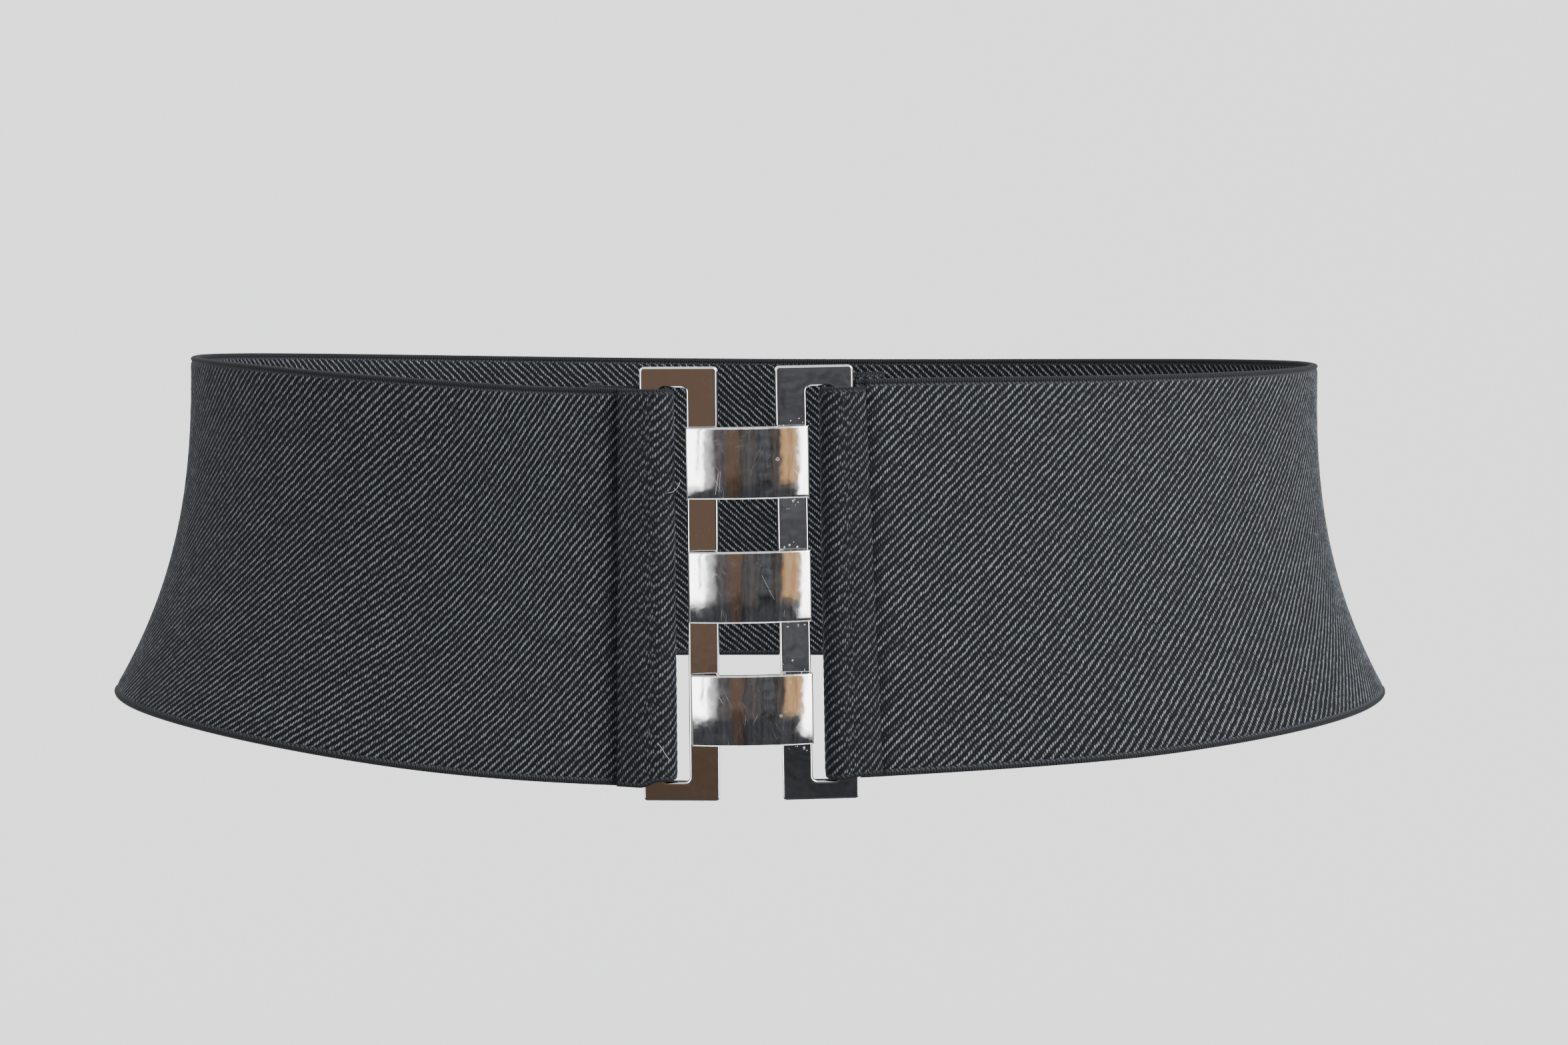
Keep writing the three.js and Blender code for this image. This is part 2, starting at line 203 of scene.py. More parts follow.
STRAIGHT_REACH = BAR_HALF_REACH + CLEARANCE
MEAN_RADIUS = (WAIST_HALF_WIDTH + WAIST_HALF_DEPTH) / 2


def smooth(value, low, high):
    """0 at low and 1 at high, smooth between and flat past them."""
    t = np.clip((np.asarray(value, float) - low) / (high - low), 0, 1)
    return t * t * (3 - 2 * t)


def rotation(angle, axis):
    return Matrix.Rotation(angle, 4, axis)


BUCKLE = Matrix.Translation((BUCKLE_OFFSET, BUCKLE_INSET - WAIST_HALF_DEPTH, 0)) @ rotation(-BUCKLE_ROLL, "Y")


def half_matrix(sign):
    """Frame of one buckle half in the row frame."""
    return BUCKLE @ rotation(-sign * HALF_SPREAD, "Y") @ rotation(sign * HALF_TILT, "Z")


def webbing_matrix(sign):
    """Frame of the webbing where it turns on a hidden bar."""
    middle = Matrix.Translation((sign * HIDDEN_BAR_MIDDLE, 0, 0))
    return half_matrix(sign) @ middle @ rotation(sign * WEBBING_TURN, "Z")


def moved(points, matrix):
    m = np.array(matrix)
    return points @ m[:3, :3].T + m[:3, 3]


def body_points(sign, angle, across):
    """Points of the loop's middle surface away from the buckle."""
    down = 0.5 - across / ELASTIC_WIDTH
    flare = np.sign(down) * np.abs(down) ** FLARE_POWER
    half_width = WAIST_HALF_WIDTH + (HIP_HALF_WIDTH - WAIST_HALF_WIDTH) * flare
    half_depth = WAIST_HALF_DEPTH + BACK_SPREAD * down * (1 - np.cos(angle)) / 2
    x = half_width * (np.sin(angle) - SIDE_FLATNESS * np.sin(3 * angle)) / (1 + SIDE_FLATNESS)
    y = half_depth * (np.cos(angle) + SIDE_FLATNESS * np.cos(3 * angle)) / (1 + SIDE_FLATNESS)
    rise = (TOP_SIDE_RISE + (BOTTOM_SIDE_RISE - TOP_SIDE_RISE) * down) * np.sin(angle) ** 2
    shift = sign * END_SHIFT * (1 - smooth(angle, *SHIFT_FADE))
    return moved(np.stack([sign * x, -y, across + rise + shift], -1), rotation(BODY_TURN, "Z"))


def lift_at(sign, along):
    half = HIDDEN_BAR_WIDTH / 2
    return WEBBING_LIFT[sign] * smooth(along, -half, half)


def straight_points(sign, along, across):
    """Points of the straight stretch at a hidden bar."""
    across = across + lift_at(sign, along)
    flat = np.stack([sign * along, np.zeros_like(along), across], -1)
    return moved(flat, webbing_matrix(sign))


def one(value):
    return np.array([float(value)])


BLEND_LENGTH = float(np.linalg.norm(
    straight_points(1, one(STRAIGHT_REACH), one(0)) - body_points(1, one(BLEND_END_ANGLE), one(0))))
BLEND_END = STRAIGHT_REACH + BLEND_LENGTH
BACK_REACH = BLEND_END + (math.pi - BLEND_END_ANGLE) * MEAN_RADIUS


def loop_points(sign, along, across):
    """Middle surface from a hidden bar to the middle of the back: straight, then one bend, then the body."""
    step = 0.01
    edge = np.full_like(along, STRAIGHT_REACH)
    turn = np.full_like(along, BLEND_END_ANGLE)
    start = straight_points(sign, edge, across)
    end = body_points(sign, turn, across)
    leaving = start - straight_points(sign, edge - step, across)
    arriving = body_points(sign, turn + step, across) - end
    leaving *= BLEND_LENGTH / np.linalg.norm(leaving, axis=-1, keepdims=True)
    arriving *= BLEND_LENGTH / np.linalg.norm(arriving, axis=-1, keepdims=True)
    t = np.clip((along - STRAIGHT_REACH) / BLEND_LENGTH, 0, 1)[..., None]
    blend = start * (1 + 2 * t) * (1 - t) ** 2 + leaving * t * (1 - t) ** 2
    blend = blend + end * t ** 2 * (3 - 2 * t) + arriving * t ** 2 * (t - 1)
    body = body_points(sign, BLEND_END_ANGLE + (along - BLEND_END) / MEAN_RADIUS, across)
    straight = straight_points(sign, along, across)
    result = np.where((along <= STRAIGHT_REACH)[..., None], straight, blend)
    return np.where((along >= BLEND_END)[..., None], body, result)


def webbing_points(sign, along, across, out):
    """Points at a distance in front of the middle surface."""
    step = 0.05
    forward = loop_points(sign, along + step, across) - loop_points(sign, along - step, across)
    climbing = loop_points(sign, along, across + step) - loop_points(sign, along, across - step)
    normal = np.cross(forward, climbing)
    normal *= sign / np.linalg.norm(normal, axis=-1, keepdims=True)
    return loop_points(sign, along, across) + normal * np.asarray(out)[..., None]


def band_points(u, across, out):
    """Points of the band: u runs from the right hidden bar round the back to the left one."""
    right = u <= BACK_REACH
    result = np.empty((len(u), 3))
    result[right] = webbing_points(1, u[right], across[right], out[right])
    left = ~right
    result[left] = webbing_points(-1, 2 * BACK_REACH - u[left], across[left], out[left])
    return result


def make_mesh(name, points, faces, material, attributes=None):
    """Object from points in millimetres, with float and vector attributes on its points."""
    mesh = bpy.data.meshes.new(name)
    mesh.from_pydata((np.asarray(points) * MM).tolist(), [], faces)
    for key, values in (attributes or {}).items():
        values = np.asarray(values, np.float32)
        kind, field = ("FLOAT", "value") if values.ndim == 1 else ("FLOAT_VECTOR", "vector")
        mesh.attributes.new(key, kind, "POINT").data.foreach_set(field, values.ravel())
    mesh.materials.append(material)
    mesh.polygons.foreach_set("use_smooth", [True] * len(mesh.polygons))
    bm = bmesh.new()
    bm.from_mesh(mesh)
    bmesh.ops.recalc_face_normals(bm, faces=bm.faces)
    bm.to_mesh(mesh)
    bm.free()
    piece = bpy.data.objects.new(name, mesh)
    bpy.context.scene.collection.objects.link(piece)
    return piece


def grid_faces(index, rear=None):
    """Quads between neighbouring places of a grid of point numbers, and of the grid behind it."""
    quads = [np.stack([index[:-1, :-1], index[1:, :-1], index[1:, 1:], index[:-1, 1:]], -1)]
    if rear is not None:
        quads.append(np.stack([rear[:-1, :-1], rear[:-1, 1:], rear[1:, 1:], rear[1:, :-1]], -1))
    return np.stack(quads, 2).reshape(-1, 4).tolist()


def ring_faces(rings, count, closed=False):
    """Quads between neighbouring rings of count points, and from the last ring to the first where closed."""
    faces = []
    for i in range(rings if closed else rings - 1):
        k = (i + 1) % rings
        for j in range(count):
            m = (j + 1) % count
            faces.append((i * count + j, i * count + m, k * count + m, k * count + j))
    return faces


def dress(piece, slot, *nodes):
    """The piece rides on the belt and stands for CAD nodes; slot is not used."""
    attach(piece, "root")
    if nodes:
        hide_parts(*nodes)


def keep_faces_flat(piece):
    """Normals weighted by face area, so that flat faces stay flat beside their rounded edges."""
    modifier = piece.modifiers.new("weighted_normals", "WEIGHTED_NORMAL")
    modifier.keep_sharp = True
    return piece


class Field:
    """A value that varies over a surface: the output of a shader node, which can be used in sums."""

    def __init__(self, tree, socket):
        self.tree = tree
        self.socket = socket

    def math(self, operation, *others):
        node = self.tree.nodes.new("ShaderNodeMath")
        node.operation = operation
        for socket, value in zip(node.inputs, (self, *others)):
            plug(self.tree, socket, value)
        return Field(self.tree, node.outputs[0])

    def __add__(self, other):
        return self.math("ADD", other)

    def __sub__(self, other):
        return self.math("SUBTRACT", other)

    def __mul__(self, other):
        return self.math("MULTIPLY", other)

    def __truediv__(self, other):
        return self.math("DIVIDE", other)

    def floor(self):
        return self.math("FLOOR")

    def fract(self):
        return self.math("FRACT")

    def abs(self):
        return self.math("ABSOLUTE")

    def most(self, other):
        return self.math("MAXIMUM", other)

    def ramp(self, low, high):
        """0 below low, 1 above high, smooth between."""
        node = self.tree.nodes.new("ShaderNodeMapRange")
        node.interpolation_type = "SMOOTHSTEP"
        plug(self.tree, node.inputs["Value"], self)
        plug(self.tree, node.inputs["From Min"], low)
        plug(self.tree, node.inputs["From Max"], high)
        return Field(self.tree, node.outputs["Result"])


def plug(tree, socket, value):
    if isinstance(value, Field):
        tree.links.new(value.socket, socket)
    else:
        socket.default_value = value


def vector(tree, x, y, z=0.0):
    node = tree.nodes.new("ShaderNodeCombineXYZ")
    for socket, value in zip(node.inputs, (x, y, z)):
        plug(tree, socket, value)
    return Field(tree, node.outputs[0])


def parts(tree, field):
    node = tree.nodes.new("ShaderNodeSeparateXYZ")
    plug(tree, node.inputs[0], field)
    return [Field(tree, output) for output in node.outputs]


def attribute(tree, name):
    node = tree.nodes.new("ShaderNodeAttribute")
    node.attribute_name = name
    return node


def noise(tree, where, scale, detail=2.0, roughness=0.5):
    node = tree.nodes.new("ShaderNodeTexNoise")
    plug(tree, node.inputs["Vector"], where)
    node.inputs["Scale"].default_value = scale
    node.inputs["Detail"].default_value = detail
    node.inputs["Roughness"].default_value = roughness
    return Field(tree, node.outputs["Fac"])


def chance(tree, where):
    """Three random numbers from 0 to 1 for each whole-numbered place."""
    node = tree.nodes.new("ShaderNodeTexWhiteNoise")
    node.noise_dimensions = "3D"
    plug(tree, node.inputs["Vector"], where)
    return parts(tree, Field(tree, node.outputs["Color"]))


def mix_colour(tree, share, first, second):
    node = tree.nodes.new("ShaderNodeMix")
    node.data_type = "RGBA"
    plug(tree, node.inputs["Factor"], share)
    for socket, colour in ((node.inputs[6], first), (node.inputs[7], second)):
        if isinstance(colour, Field):
            plug(tree, socket, colour)
        else:
            socket.default_value = (*colour, 1)
    return Field(tree, node.outputs[2])


def bump(tree, height, distance, normal=None):
    """Normal from a height of 0 to 1 that stands for a distance in millimetres."""
    node = tree.nodes.new("ShaderNodeBump")
    node.inputs["Distance"].default_value = distance * MM
    plug(tree, node.inputs["Height"], height)
    if normal is not None:
        plug(tree, node.inputs["Normal"], normal)
    return Field(tree, node.outputs["Normal"])


def new_material(name):
    """New material with its node tree and Principled shader."""
    material = bpy.data.materials.new(name)
    material.use_nodes = True
    tree = material.node_tree
    shader = next(node for node in tree.nodes if node.type == "BSDF_PRINCIPLED")
    return material, tree, shader


def elastic_material():
    """Near black knitted elastic: grey slubs in columns that climb into twill lines, and ribbed edges."""
    material, tree, shader = new_material("black_elastic")
    flat = Field(tree, attribute(tree, "flat").outputs["Vector"])
    u, v, edge = parts(tree, flat)
    crush = Field(tree, attribute(tree, "crush").outputs["Fac"])
    shade = Field(tree, attribute(tree, "shade").outputs["Fac"])
    drift = noise(tree, flat, 0.35, 1.0) - 0.5
    sway = noise(tree, vector(tree, v, u, 7.0), 0.35, 1.0) - 0.5
    u = u + drift * COLUMN_DRIFT
    v_line = v + sway * LINE_SWAY
    columns = u / COLUMN
    column = columns.floor()
    beside = columns.fract() - 0.5
    climb = (v_line - column * COLUMN - COLUMN / 2) / REPEAT + 0.5
    row = climb.floor()
    up = climb.fract() - 0.5
    first, second, third = chance(tree, vector(tree, column, row))
    jitter = (first - 0.5) * (crush * CRUSHED_JITTER + SLUB_JITTER)
    lean = (second - 0.35) * SLUB_LEAN
    up = up + jitter - beside * lean
    reach = beside / SLUB_HALF_WIDTH
    height = up / (third * SLUB_LENGTH_SPREAD + SLUB_HALF_LENGTH)
    slub = (reach * reach + height * height).ramp(*SLUB_FADE)
    fuzz = noise(tree, vector(tree, u * 3.2, v * 1.3 - u * 1.2), 1.0, 3.0, 0.7)
    patch = noise(tree, vector(tree, u * 0.12, v * 0.3), 1.0, 3.0)
    streak = noise(tree, vector(tree, u * 1.1, v * 0.05), 1.0, 2.0)
    across_line = ((v_line - u) / REPEAT + 0.5).fract() - 0.5
    rope = across_line.abs().ramp(0.3, 0.05)
    light = slub * (second * 0.7 + 0.3) + rope * 0.1
    light = light * (fuzz * 1.2 + 0.4) * (patch * 0.5 + 0.75) * (streak * 0.5 + 0.75)
    light = light + fuzz.ramp(0.45, 0.75) * 0.05

    # Ribbed bead along each edge and the lighter yarn beside it
    rib = ((u / BEAD_PITCH * (2 * math.pi)).math("SINE") * 0.5 + 0.5) * (fuzz * 0.8 + 0.5)
    in_bead = edge.ramp(BEAD_WIDTH + BEAD_BLUR, BEAD_WIDTH - BEAD_BLUR)
    near_bead = edge.ramp(BEAD_WIDTH + DASH_REACH[0], BEAD_WIDTH + DASH_REACH[1]) - in_bead
    dash = ((u / DASH_PITCH + v).fract() - 0.5).abs().ramp(0.48, 0.2) * (fuzz + 0.3)
    field = (in_bead + near_bead) * -1.0 + 1.0
    light = light * field + rib * in_bead * 0.1 + dash * near_bead * 0.26
    relief = slub * field + rib * in_bead * 0.6 + dash * near_bead * 0.5

    # Lines in the shade of a seam keep only a little of their light
    light = light * (shade * -0.95 + 1.0)
    colour = mix_colour(tree, light, ELASTIC_DARK, ELASTIC_LIGHT)
    plug(tree, shader.inputs["Base Color"], colour)
    plug(tree, shader.inputs["Normal"], bump(tree, relief + fuzz * 0.25, WEAVE_RELIEF))
    shader.inputs["Roughness"].default_value = 0.8
    shader.inputs["Specular IOR Level"].default_value = 0.12
    shader.inputs["Sheen Weight"].default_value = 0.01
    shader.inputs["Sheen Roughness"].default_value = 0.4
    return material


def scratches(tree, where, angle, fineness, length, share):
    """Thin straight scratches in one direction: where is in millimetres across the face."""
    x, y, _ = parts(tree, where)
    along = x * math.cos(angle) + y * math.sin(angle)
    beside = y * math.cos(angle) - x * math.sin(angle)
    pattern = noise(tree, vector(tree, along / length, beside * fineness, angle * 10), 1.0, 2.0, 0.6)
    return pattern.ramp(1 - share, 1 - share + 0.06)


def near_spot(tree, where, spot, reach):
    """1 within reach of one place on a face, with a ragged edge."""
    node = tree.nodes.new("ShaderNodeVectorMath")
    node.operation = "DISTANCE"
    plug(tree, node.inputs[0], where)
    node.inputs[1].default_value = spot
    distance = Field(tree, node.outputs["Value"]) + noise(tree, where, 3.0, 3.0) * (reach * 0.9)
    return distance.ramp(reach * 1.4, reach * 0.8)


def long_scratch(tree, where, start, end, width):
    """1 on one straight scratch between two places on a face."""
    start, end = Vector(start), Vector(end)
    direction = (end - start).normalized()
    centred = tree.nodes.new("ShaderNodeVectorMath")
    centred.operation = "SUBTRACT"
    plug(tree, centred.inputs[0], where)
    centred.inputs[1].default_value = start
    x, z, depth = parts(tree, Field(tree, centred.outputs["Vector"]))
    along = x * direction.x + z * direction.y
    beside = (x * direction.y - z * direction.x).abs() + depth.abs()
    length = (end - start).length
    return beside.ramp(width, width / 2) * along.ramp(0.0, 0.4) * along.ramp(length, length - 0.4)


def highest(fields):
    """The largest of several fields, place by place."""
    return functools.reduce(Field.most, fields)


def metal_material(name, scratched, brown_streaked, base, spots=(), marks=()):
    """Polished plating with wear: scratches, smudges, pits and spots of rust, and brown streaks towards the
    right of each face.
    """
    material, tree, shader = new_material(name)
    face = Field(tree, attribute(tree, "face").outputs["Vector"])
    x, z, _ = parts(tree, face)
    smudge = noise(tree, face, 0.45, 4.0, 0.6)
    lines = highest([scratches(tree, face, math.radians(angle), *rest) for angle, *rest in SCRATCHES])
    worn = noise(tree, face, 0.28, 2.0).ramp(0.42, 0.66)
    lines = highest([lines * worn] + [long_scratch(tree, face, *mark) for mark in marks])
    speck = noise(tree, face, 6.0, 1.0).ramp(0.72, 0.8)
    roughness = smudge.ramp(0.35, 0.75) * (0.02 + 0.08 * scratched) + lines * (0.12 * scratched)
    roughness = roughness + speck * (0.1 * scratched) + 0.05
    cloud = noise(tree, face, 0.5, 5.0, 0.75).ramp(0.5, 0.8)
    veil = lines * (0.22 * scratched) + cloud * (0.05 * scratched)
    plug(tree, shader.inputs["Roughness"], roughness)
    # Brown vertical streaks towards the right of each face
    brown = noise(tree, vector(tree, x * 0.8, z * 0.1, 3.0), 1.0, 3.0, 0.6).ramp(0.5, 0.66)
    brown = brown * x.ramp(-5.0, -2.0) * brown_streaked
    colour = mix_colour(tree, brown, base, STREAK_BROWN)
    colour = mix_colour(tree, lines * (0.3 * scratched), colour, SCRATCH_WHITE)
    if spots:
        rust = highest([near_spot(tree, face, *spot) for spot in spots])
        colour = mix_colour(tree, rust, colour, RUST_BROWN)
        plug(tree, shader.inputs["Roughness"], roughness.most(rust * 0.3))
        veil = veil.most(rust * 0.95)
    plug(tree, shader.inputs["Metallic"], veil * -1.0 + 1.0)
    plug(tree, shader.inputs["Base Color"], colour)
    dents = noise(tree, face, 0.35, 1.0)
    soft = bump(tree, dents, 0.03)
    plug(tree, shader.inputs["Normal"], bump(tree, lines * -1.0, 0.002 * scratched, soft))
    return material


def band_flat():
    """The band laid out flat: rows across it and a sheared grid along it, so that ribs follow the twill."""
    half = ELASTIC_WIDTH / 2
    radius = ELASTIC_THICKNESS / 2
    distances, shares = zip(*SELVEDGE)
    field = np.linspace(-half + distances[-1], half - distances[-1], FIELD_ROWS + 1)[1:-1]
    lower = [d - half for d in distances]
    upper = [half - d for d in reversed(distances)]
    front = np.array([*lower, *field, *upper])
    share = np.array([*shares, *[1.0] * len(field), *reversed(shares)])
    v = np.concatenate([front, front[1:-1][::-1]])
    out = np.concatenate([share, -share[1:-1][::-1]]) * radius
    start, end = STRAIGHT_REACH, 2 * BACK_REACH - STRAIGHT_REACH
    first = math.floor((start - half) / REPEAT) * RIB_SAMPLES
    last = math.ceil((end + half) / REPEAT) * RIB_SAMPLES
    phase = np.arange(first, last + 1) * REPEAT / RIB_SAMPLES
    u = phase[:, None] + v[None, :]
    fade = smooth(half - np.abs(v), distances[-2], distances[-1])
    rib = (0.5 - 0.5 * np.cos(2 * np.pi * phase / REPEAT))[:, None] * fade[None, :] * RIB_HEIGHT
    thickness = out[None, :] - np.sign(out)[None, :] * rib
    points = np.stack([u, np.broadcast_to(v, u.shape), thickness], -1).reshape(-1, 3)
    return points, ring_faces(len(phase), len(v)), start, end


def elastic_band(material):
    points, faces, start, end = band_flat()
    mesh = bpy.data.meshes.new("flat")
    mesh.from_pydata(points.tolist(), [], faces)
    bm = bmesh.new()
    bm.from_mesh(mesh)
    for place, direction in ((start, -1), (end, 1)):
        everything = bm.verts[:] + bm.edges[:] + bm.faces[:]
        bmesh.ops.bisect_plane(
            bm, geom=everything, plane_co=(place, 0, 0), plane_no=(direction, 0, 0), clear_outer=True)
    open_edges = [edge for edge in bm.edges if edge.is_boundary]
    bmesh.ops.holes_fill(bm, edges=open_edges, sides=0)
    bm.to_mesh(mesh)
    bm.free()
    flat = np.empty(len(mesh.vertices) * 3)
    mesh.vertices.foreach_get("co", flat)
    flat = flat.reshape(-1, 3)
    faces = [tuple(polygon.vertices) for polygon in mesh.polygons]
    bpy.data.meshes.remove(mesh)
    u, v, out = flat.T
    place = np.stack([u, v, ELASTIC_WIDTH / 2 - np.abs(v)], -1)
    shade = np.zeros(len(u))
    for sign, along in ((1, u), (-1, 2 * BACK_REACH - u)):
        beyond = along - FRONT_REACH[sign] - seam_slant(sign, v)
        fading_in = smooth(beyond, -SEAM_SHADE_BLUR, 0)
        fading_out = smooth(beyond, SEAM_SHADE + SEAM_SHADE_BLUR, SEAM_SHADE)
        shade += fading_in * fading_out * (out > 0)
    piece = make_mesh(
        "woven_band", band_points(u, v, out), faces, material,
        {"flat": place, "crush": np.zeros(len(u)), "shade": shade})
    dress(piece, "black_elastic", "elastic_band")


def seam_slant(sign, v):
    """How far a tab's raw edge leans away from the buckle towards the bottom."""
    return SEAM_SLANT[sign] * -v / (ELASTIC_WIDTH / 2)


def tab_path(sign):
    """The tab's middle line at a hidden bar as (along, out) points, with the length up to each."""
    bar_radius = BAR_HALF_DEPTH + CLEARANCE + TAB_THICKNESS / 2
    band_radius = ELASTIC_THICKNESS / 2 + CLEARANCE + TAB_THICKNESS / 2
    middle = bar_radius + TAB_THICKNESS / 2 - FOLD_REACH
    seam = FRONT_REACH[sign] + SEAM_MARGIN

    def radius_at(along):
        return bar_radius + (band_radius - bar_radius) * smooth(along, BAR_HALF_REACH, seam)

    front = np.linspace(seam, middle, TAB_PATH_SAMPLES)
    turn = np.linspace(0, math.pi, TAB_PATH_SAMPLES)[1:]
    rear = np.linspace(middle, REAR_REACH[sign], TAB_PATH_SAMPLES)[1:]
    along = np.concatenate([front, middle - bar_radius * np.sin(turn), rear])
    out = np.concatenate([radius_at(front), bar_radius * np.cos(turn), -radius_at(rear)])
    steps = np.hypot(np.diff(along), np.diff(out))
    return along, out, np.concatenate([[0], np.cumsum(steps)])


def graded(low, high, step, fine):
    """Even steps from low to high, with finer ones at both ends."""
    inner = np.linspace(low + fine[-1], high - fine[-1], max(2, round((high - low - 2 * fine[-1]) / step)))
    return np.concatenate([low + np.array(fine[:-1]), inner, high - np.array(fine[:-1])[::-1]])


def rounded(distance):
    """Share of the thickness left at a distance from a tab's edge."""
    t = np.clip(1 - distance / TAB_ROUNDING, 0, 1)
    return np.sqrt(1 - t * t)


def end_tab(sign, name, node, material):
    """Short piece of elastic folded round the hidden bar, in a pillow with rounded edges."""
    along, out, length = tab_path(sign)
    radius = TAB_THICKNESS / 2
    half = ELASTIC_WIDTH / 2
    s = graded(0, length[-1], TAB_STEP, TAB_EDGE_STEPS)
    share = graded(-1, 1, TAB_SHARE_STEP, [step / half for step in TAB_EDGE_STEPS])
    s_grid, share_grid = np.meshgrid(s, share, indexing="ij")
    a = np.interp(s_grid, length, along)
    o = np.interp(s_grid, length, out)
    step = 0.05
    da = np.interp(s_grid + step, length, along) - np.interp(s_grid - step, length, along)
    do = np.interp(s_grid + step, length, out) - np.interp(s_grid - step, length, out)
    size = np.hypot(da, do)
    face_along, face_out = do / size, -da / size
    slot_fit = SLOT_HEIGHT / 2 - CLEARANCE
    low_end = np.where(o > 0, -slot_fit - FRONT_DROP[sign], WEBBING_LIFT[sign] + REAR_TUCK - half)
    high_end = np.where(o > 0, slot_fit, WEBBING_LIFT[sign] + REAR_RISE[sign] + half)
    widening = smooth(a, -HIDDEN_BAR_WIDTH / 2, HIDDEN_BAR_WIDTH / 2)
    low = -slot_fit + (low_end + slot_fit) * widening
    high = slot_fit + (high_end - slot_fit) * widening
    v = low + (high - low) * (share_grid + 1) / 2 - lift_at(sign, a)
    slant = seam_slant(sign, v) * smooth(s_grid, SLANT_FADE_LENGTH, 0)
    a = a + slant
    edge_v = np.minimum(v + lift_at(sign, a) - low, high - v - lift_at(sign, a))
    edge_s = np.minimum(s_grid, length[-1] - s_grid)
    half_thickness = radius * np.minimum(rounded(edge_v), rounded(edge_s))
    # The weave follows the length of the folded piece, and counts up to the right as on the band
    u = sign * (slant - s_grid) * TAB_TIGHTNESS
    rib = 0.5 + 0.5 * np.cos(2 * np.pi * (u - v) / REPEAT)
    rib = rib * smooth(edge_v, 0.5, 1.6) * smooth(edge_s, 0.2, 0.8)
    front = half_thickness + (rib - 0.5) * RIB_HEIGHT * TAB_RIB_SHARE * (half_thickness > 0) * rounded(edge_v)
    top = webbing_points(sign, (a + front * face_along).ravel(), v.ravel(), (o + front * face_out).ravel())
    rear = webbing_points(
        sign, (a - half_thickness * face_along).ravel(), v.ravel(), (o - half_thickness * face_out).ravel())
    index = np.arange(a.size).reshape(a.shape)
    other = index + a.size
    border = np.ones(a.shape, bool)
    border[1:-1, 1:-1] = False
    other[border] = index[border]
    points = np.concatenate([top, rear])
    used, faces = compact(len(points), grid_faces(index, other))
    crush = np.exp(-((s_grid - FRONT_REACH[sign] - CRUSH_PLACE) / CRUSH_REACH) ** 2)
    shade = TAB_SHADE + (1 - TAB_SHADE) * np.exp(-(edge_s / RAW_EDGE_SHADE_REACH) ** 2)
    place = np.stack([u, v, edge_v + BEAD_WIDTH / 2], -1).reshape(-1, 3)
    values = {"flat": place, "crush": crush.ravel(), "shade": shade.ravel()}
    attributes = {key: np.concatenate([value, value])[used] for key, value in values.items()}
    piece = make_mesh(name, points[used], faces, material, attributes)
    dress(piece, "black_elastic", node)


def compact(count, faces):
    """Leaves out points that no face uses."""
    used = np.zeros(count, bool)
    used[np.array(faces).ravel()] = True
    renumber = np.cumsum(used) - 1
    return used, [tuple(int(renumber[k]) for k in face) for face in faces]


def corner_ring(left, right, height, radius, grown):
    """Round-cornered rectangle as points, grown by a distance on every side."""
    points = []
    for quarter, (x, z) in enumerate((
            (right - radius, height / 2 - radius), (left + radius, height / 2 - radius),
            (left + radius, radius - height / 2), (right - radius, radius - height / 2))):
        for step in range(CORNER_STEPS + 1):
            angle = (quarter + step / CORNER_STEPS) * math.pi / 2
            points.append((x + (radius + grown) * math.cos(angle), z + (radius + grown) * math.sin(angle)))
    return points


def buckle_frame(sign, name, material, nodes):
    """Flat frame with one slot: one cross-section swept round the slot."""
    half = FRAME_THICKNESS / 2
    flat = half - FRAME_BEVEL
    arc = [math.radians(a) for a in (0, 22.5, 45, 67.5, 90)]
    outer = [(FRAME_BEVEL * (1 - math.cos(a)), flat + FRAME_BEVEL * math.sin(a)) for a in arc]
    outer.append((FRAME_SUPPORT, half))
    section = [("outer", inset, -depth) for inset, depth in outer]
    section += [("slot", inset, -depth) for inset, depth in reversed(outer)]
    section += [("slot", inset, depth) for inset, depth in outer]
    section += [("outer", inset, depth) for inset, depth in reversed(outer)]
    outer_edge = FRAME_INNER_EDGE + FRAME_WIDTH
    height = SLOT_HEIGHT + 2 * ARM_HEIGHT
    slot_edge = outer_edge - HIDDEN_BAR_WIDTH
    rings = []
    for edge, inset, depth in section:
        if edge == "outer":
            ring = corner_ring(FRAME_INNER_EDGE, outer_edge, height, OUTER_CORNER_RADIUS, -inset)
        else:
            ring = corner_ring(CENTRE_BAR_FAR_EDGE, slot_edge, SLOT_HEIGHT, SLOT_CORNER_RADIUS, inset)
        rings.append([(x, depth, z) for x, z in ring])
    faces = ring_faces(len(rings), len(rings[0]), closed=True)
    points = np.array(rings).reshape(-1, 3)
    if sign < 0:
        points[:, :2] *= -1
    face = np.stack([points[:, 0], points[:, 2], points[:, 1]], -1)
    piece = make_mesh(name, moved(points, half_matrix(sign)), faces, material, {"face": face})
    keep_faces_flat(piece)
    dress(piece, "polished_metal", *nodes)


def plate_back(x, z):
    crown = PLATE_CROWN * (1 - (x / PLATE_HALF_LENGTH) ** 2)
    rise = PLATE_RISE * (1 - (2 * z / PLATE_HEIGHT) ** 2)
    return PLATE_SEAT + crown + rise


def plates_matrix():
    return BUCKLE @ rotation(-HALF_SPREAD, "Y")


def plate_heights():
    return [(number - (PLATE_COUNT - 1) / 2) * PLATE_PITCH for number in range(PLATE_COUNT)]


